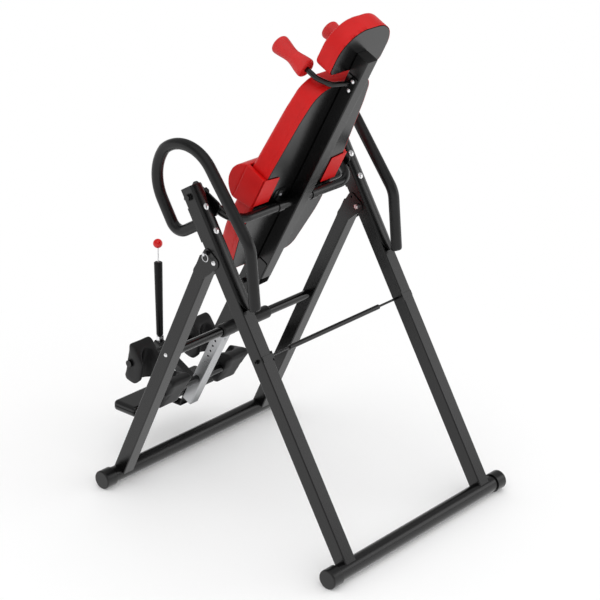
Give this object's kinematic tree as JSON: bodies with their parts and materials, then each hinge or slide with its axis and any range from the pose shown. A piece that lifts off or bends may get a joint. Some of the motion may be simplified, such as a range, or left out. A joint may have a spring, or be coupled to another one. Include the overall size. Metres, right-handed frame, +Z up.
{
  "type": "inversion table",
  "caption": "Folding A-frame inversion table: tilting padded bed on two side pivots, lumbar roll, head pillow, side handles, sliding height bar, foot plate and ankle holders with a lever.",
  "frame": {"origin": "on the floor, under the middle of the machine's overall box and on its middle plane", "axes": "+X to a lying person's left hand, +Y to the rear floor tube and the head end, +Z up"},
  "size_m": [0.924, 1.2498, 1.7179],
  "materials": {
    "black_frame": "satin powder coat",
    "black_plastic": "fine moulded grain",
    "foam_grip": "closed-cell foam sleeve",
    "red_cover": "matt vinyl cover over foam",
    "red_grip": "moulded foam",
    "red_plastic": "gloss",
    "bright_steel": "polished plating",
    "zinc_steel": "zinc plated",
    "silver_tube": "satin silver",
    "cup_foam": "moulded foam skin"
  },
  "bodies": {
    "rear_stand": {"rear_floor_tube": "black_frame", "rear_foot_caps": "black_plastic", "rear_leg_left": "black_frame", "rear_leg_right": "black_frame", "rear_leg_plugs": "black_plastic", "brace_rod": "black_frame", "brace_sleeve": "black_plastic", "brace_clips": "black_frame", "handle_tube_left": "black_frame", "handle_tube_right": "black_frame", "handle_foam_left": "foam_grip", "handle_foam_right": "foam_grip", "handle_saddles": "black_frame", "saddle_bolts": "bright_steel", "pivot_bolts": "black_frame", "pivot_spacers": "black_plastic", "hinge_bolts": "bright_steel"},
    "front_stand": {"front_floor_tube": "black_frame", "front_foot_caps": "black_plastic", "front_leg_left": "black_frame", "front_leg_right": "black_frame", "hinge_cheeks": "black_frame", "front_cross_tube": "black_frame", "cross_tube_sleeve": "foam_grip", "cross_tube_bolts": "bright_steel"},
    "lock_pin_left": {"lock_ring_left": "zinc_steel"},
    "lock_pin_right": {"lock_ring_right": "zinc_steel"},
    "bed": {"spine_tube": "black_frame", "spine_plug": "black_plastic", "bed_bar": "black_frame", "hinge_arms": "black_frame", "bar_clamps": "black_frame", "clamp_bases": "black_frame", "clamp_bolts": "bright_steel", "back_board": "black_plastic", "back_pad": "red_cover", "lumbar_roll": "red_cover", "pillow_plate": "black_plastic", "head_pillow": "red_cover", "neck_rods": "black_frame", "neck_bolts": "bright_steel", "neck_grips": "red_grip", "guide_tube": "black_frame", "splice_plates": "black_frame", "guide_liners": "black_plastic"},
    "height_lock": {"height_pin": "bright_steel"},
    "leg_bar": {"height_bar": "silver_tube", "ankle_rail": "black_frame", "rear_axle": "black_frame", "foot_plate": "black_plastic"},
    "carriage": {"ankle_carriage": "black_frame", "lever_fork": "bright_steel", "lever_grip": "foam_grip", "front_axle": "black_frame"},
    "release": {"release_rod": "bright_steel", "release_ball": "red_plastic"},
    "cup_front_left": {"front_holder_left": "cup_foam"},
    "cup_front_right": {"front_holder_right": "cup_foam"},
    "cup_rear_left": {"rear_holder_left": "cup_foam"},
    "cup_rear_right": {"rear_holder_right": "cup_foam"}
  },
  "joints": [
    {"name": "stand_fold", "type": "hinge", "parent": "rear_stand", "child": "front_stand", "pos_m": [0, 0.04424, 0.93996], "axis": [1, 0, 0], "range_deg": [0, 44]},
    {"name": "lock_ring_left_pull", "type": "slide", "parent": "front_stand", "child": "lock_pin_left", "axis": [1, 0, 0], "range_m": [-0.0045, 0]},
    {"name": "lock_ring_right_pull", "type": "slide", "parent": "front_stand", "child": "lock_pin_right", "axis": [-1, 0, 0], "range_m": [-0.0045, 0]},
    {"name": "bed_tilt", "type": "hinge", "parent": "rear_stand", "child": "bed", "pos_m": [0, -0.06284, 1.13478], "axis": [-1, 0, 0], "range_deg": [0, 102]},
    {"name": "height_pin_pull", "type": "slide", "parent": "bed", "child": "height_lock", "axis": [1, 0, 0], "range_m": [-0.008, 0]},
    {"name": "height_slide", "type": "slide", "parent": "bed", "child": "leg_bar", "axis": [0, -0.4695, -0.8829], "range_m": [-0.0254, 0.0508]},
    {"name": "ankle_slide", "type": "slide", "parent": "leg_bar", "child": "carriage", "axis": [0, 0.8829, -0.4695], "range_m": [0, 0.04]},
    {"name": "release_pull", "type": "slide", "parent": "carriage", "child": "release", "axis": [0, 0, 1], "range_m": [-0.006, 0]},
    {"name": "front_left_cup_turn", "type": "hinge", "parent": "carriage", "child": "cup_front_left", "pos_m": [0, -0.54591, 0.35193], "axis": [1, 0, 0], "range_deg": [-12, 12]},
    {"name": "front_right_cup_turn", "type": "hinge", "parent": "carriage", "child": "cup_front_right", "pos_m": [0, -0.54591, 0.35193], "axis": [1, 0, 0], "range_deg": [-12, 12]},
    {"name": "rear_left_cup_turn", "type": "hinge", "parent": "leg_bar", "child": "cup_rear_left", "pos_m": [0, -0.38935, 0.28001], "axis": [1, 0, 0], "range_deg": [-12, 12]},
    {"name": "rear_right_cup_turn", "type": "hinge", "parent": "leg_bar", "child": "cup_rear_right", "pos_m": [0, -0.38935, 0.28001], "axis": [1, 0, 0], "range_deg": [-12, 12]}
  ]
}
